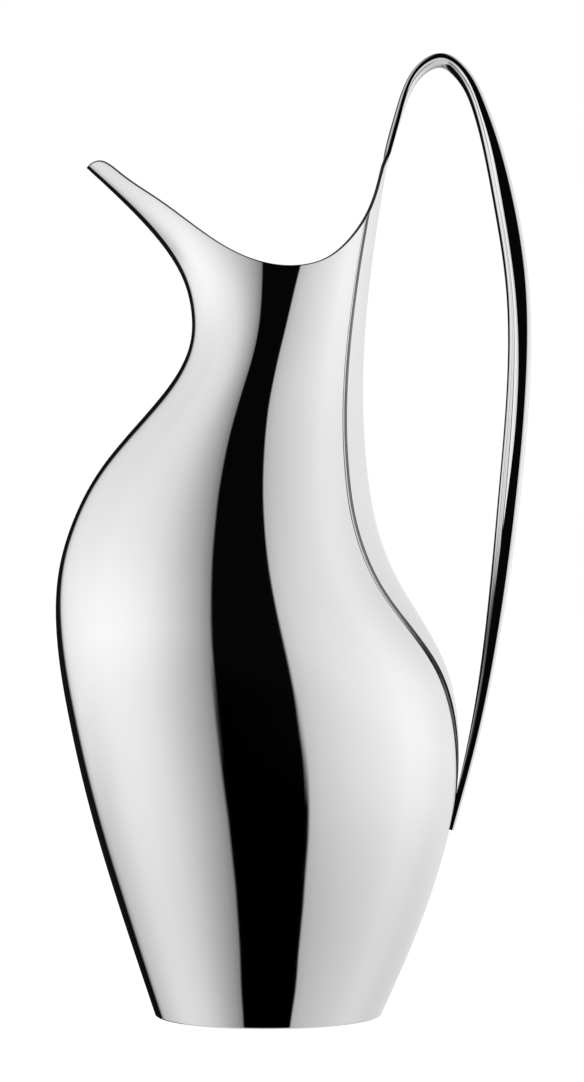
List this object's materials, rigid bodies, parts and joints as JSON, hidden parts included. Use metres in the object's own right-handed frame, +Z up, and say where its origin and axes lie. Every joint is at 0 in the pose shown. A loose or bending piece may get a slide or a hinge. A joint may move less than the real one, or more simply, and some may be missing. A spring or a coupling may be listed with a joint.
{
  "type": "water pitcher",
  "caption": "Tall polished silver water pitcher with a flattened pear-shaped belly, round neck, open beak-like spout and a slim looped handle that grows out of the back of the lip.",
  "frame": {"origin": "on the table, in the middle of the flat underside", "axes": "+X from the spout towards the handle, +Y across, +Z up"},
  "size_m": [0.1433, 0.0892, 0.2897],
  "materials": {
    "body_silver": "mirror polished silver",
    "handle_silver": "mirror polished silver",
    "base_silver": "satin silver, brushed in circles"
  },
  "bodies": {
    "root": {"body_left": "body_silver", "body_right": "body_silver", "base_plate": "base_silver", "handle_outer": "handle_silver", "handle_inner": "handle_silver"}
  },
  "joints": []
}
